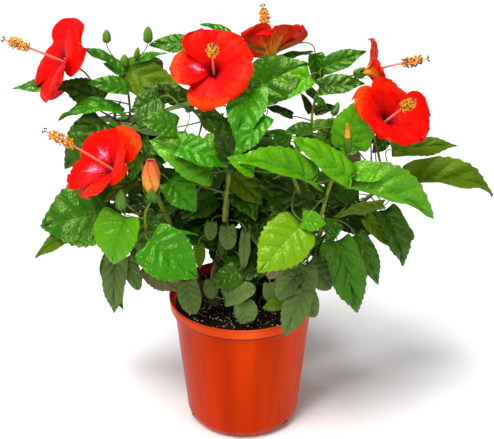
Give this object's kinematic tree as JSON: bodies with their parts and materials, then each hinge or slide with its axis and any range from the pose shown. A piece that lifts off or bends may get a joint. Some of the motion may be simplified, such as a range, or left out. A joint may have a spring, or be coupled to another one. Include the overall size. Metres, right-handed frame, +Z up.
{
  "type": "potted hibiscus shrub",
  "caption": "Bushy garden shrub with broad toothed leaves and large five-petalled blooms, growing on woody stems in a round nursery pot.",
  "frame": {"origin": "centre of the pot's flat underside, where it stands", "axes": "+Z up the plant, +X across its widest spread, to the right seen from the front, and -Y out of the front"},
  "size_m": [0.7237, 0.448, 0.678],
  "materials": {
    "pot": "satin",
    "soil": "matte",
    "stem": "matte",
    "bough": "satin",
    "foliage": "satin",
    "blossom": "satin"
  },
  "bodies": {
    "root": {"pot": "pot", "soil": "soil", "stem_left": "stem", "stem_middle": "stem", "stem_right": "stem", "stem_back": "stem", "bough_left_out": "bough", "bough_left_up": "bough", "bough_left_front": "bough", "bough_middle_up": "bough", "bough_right_front": "bough", "bough_right_up": "bough", "bough_right_out": "bough", "bough_back_left": "bough", "bough_back_up": "bough", "bough_back_right": "bough", "foliage_foot": "foliage", "foliage_rim_left": "foliage", "foliage_over_rim": "foliage", "foliage_hanging_right": "foliage", "foliage_low_right": "foliage", "foliage_hanging_left": "foliage", "foliage_low_left": "foliage", "foliage_left_front": "foliage", "foliage_left": "foliage", "foliage_left_bloom": "foliage", "foliage_upper_left": "foliage", "foliage_top_left_bloom": "foliage", "foliage_top_left": "foliage", "foliage_top_bloom": "foliage", "foliage_middle_left": "foliage", "foliage_top_middle": "foliage", "foliage_middle": "foliage", "foliage_middle_right": "foliage", "foliage_front": "foliage", "foliage_top_back_bloom": "foliage", "foliage_top_right": "foliage", "foliage_right_bloom": "foliage", "foliage_right": "foliage", "foliage_far_right": "foliage", "foliage_inner": "foliage", "foliage_back_left": "foliage", "foliage_back": "foliage", "foliage_back_right": "foliage", "foliage_back_low_left": "foliage", "foliage_back_low_right": "foliage", "foliage_back_top": "foliage"}
  },
  "joints": []
}
